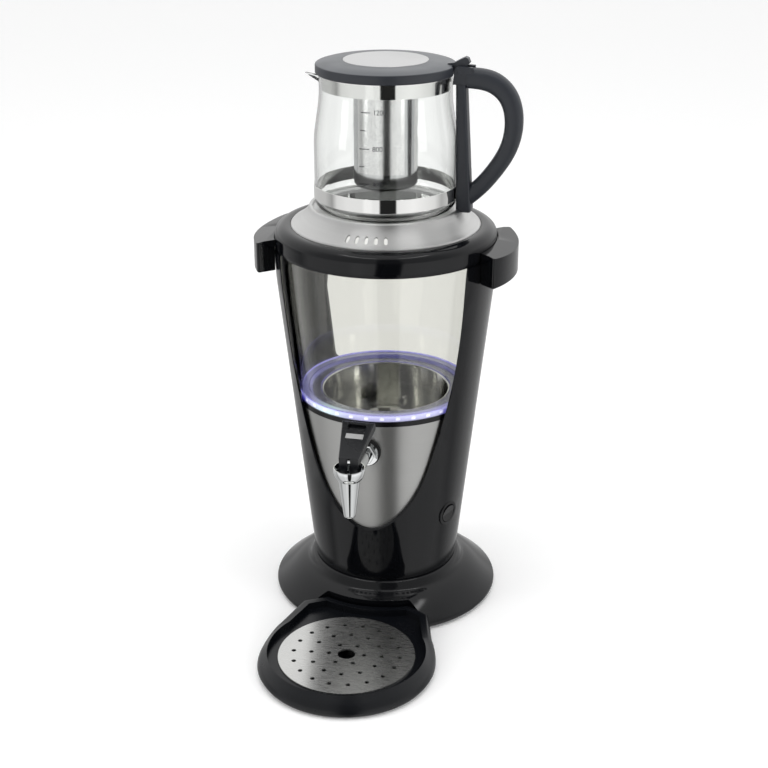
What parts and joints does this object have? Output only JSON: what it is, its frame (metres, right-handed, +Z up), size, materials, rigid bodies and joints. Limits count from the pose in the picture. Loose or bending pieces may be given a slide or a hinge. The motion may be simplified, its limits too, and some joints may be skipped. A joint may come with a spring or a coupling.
{
  "type": "electric glass samovar with teapot",
  "caption": "Electric samovar with a glass water tank, front tap with lever, lit ring, drip tray and a glass teapot with infuser on top.",
  "frame": {"origin": "on the body's axis at the plane of its rubber feet", "axes": "+Z up; -Y to the front, where the tap and the drip tray are; +X to the teapot's handle"},
  "size_m": [0.2481, 0.36, 0.5304],
  "materials": {
    "black_gloss": "high gloss black",
    "brushed_steel": "fine circular or straight brushing",
    "polished_steel": "mirror polish",
    "tank_glass": "clear, faint warm green",
    "pot_glass": "clear",
    "satin_black": "satin dark grey moulding",
    "clear_ring": "clear, lit blue from below",
    "silicone": "matt",
    "hose_silicone": "milky",
    "heater_metal": "as cast and brazed",
    "steel_hardware": "zinc plated",
    "board": "white solder mask"
  },
  "bodies": {
    "stand": {"foot_shell": "black_gloss", "base_plate": "satin_black", "base_screws": "steel_hardware", "rubber_feet": "silicone", "body_shell": "black_gloss", "front_panel": "brushed_steel", "tank_cradle": "black_gloss", "led_board": "board", "leds": "clear_ring", "light_ring": "clear_ring", "lower_seal": "silicone", "tank_glass": "tank_glass", "upper_seal": "silicone", "tank_bowl": "polished_steel", "water_probe": "steel_hardware", "heater_plate": "heater_metal", "heating_element": "heater_metal", "thermostat": "steel_hardware", "top_ring": "black_gloss", "right_handle": "black_gloss", "left_handle": "black_gloss", "handle_screws": "steel_hardware", "tap_gasket": "silicone", "tap_nut": "polished_steel", "tap_body": "polished_steel", "tap_spout": "polished_steel", "tap_bonnet": "polished_steel", "tap_locknut": "steel_hardware", "tap_elbow": "steel_hardware", "outlet_hose": "hose_silicone", "switch_housing": "black_gloss", "cord_gland": "silicone"},
    "tank_lid": {"tank_lid": "brushed_steel"},
    "teapot": {"pot_glass": "pot_glass", "pot_band": "polished_steel", "pot_handle": "satin_black", "hinge_pin": "steel_hardware", "infuser_collar": "polished_steel", "infuser_basket": "brushed_steel"},
    "pot_lid": {"pot_lid": "satin_black", "lid_disc": "brushed_steel"},
    "plunger": {"tap_plunger": "steel_hardware", "seat_cup": "silicone", "lever_pin": "steel_hardware"},
    "lever": {"tap_lever": "satin_black", "lever_plate": "brushed_steel"},
    "rocker": {"switch_rocker": "satin_black"},
    "drip_tray": {"drip_tray": "black_gloss"},
    "drip_plate": {"drip_plate": "brushed_steel"}
  },
  "joints": [
    {"name": "tank_lid_lift", "type": "slide", "parent": "stand", "child": "tank_lid", "axis": [0, 0, 1], "range_m": [0, 0.06]},
    {"name": "teapot_lift", "type": "slide", "parent": "tank_lid", "child": "teapot", "axis": [0, 0, 1], "range_m": [0, 0.1]},
    {"name": "pot_lid_hinge", "type": "hinge", "parent": "teapot", "child": "pot_lid", "pos_m": [0.0675, 0, 0.518], "axis": [0, 1, 0], "range_deg": [0, 70]},
    {"name": "tap_plunger_lift", "type": "slide", "parent": "stand", "child": "plunger", "axis": [0, 0, 1], "range_m": [0, 0.0018]},
    {"name": "tap_lever_hinge", "type": "hinge", "parent": "plunger", "child": "lever", "pos_m": [0, -0.15, 0.197], "axis": [-1, 0, 0], "range_deg": [0, 25]},
    {"name": "power_rocker_hinge", "type": "hinge", "parent": "stand", "child": "rocker", "pos_m": [0.06551, -0.03295, 0.09944], "axis": [0.4493, 0.8934, 0], "range_deg": [-12, 0]},
    {"name": "drip_tray_slide", "type": "slide", "parent": "stand", "child": "drip_tray", "axis": [0, -1, 0], "range_m": [0, 0.12]},
    {"name": "drip_plate_lift", "type": "slide", "parent": "drip_tray", "child": "drip_plate", "axis": [0, 0, 1], "range_m": [0, 0.06]}
  ],
  "couplings": [
    {"joint": "tap_plunger_lift", "follows": "tap_lever_hinge", "m_per_rad": 0.0041253}
  ]
}
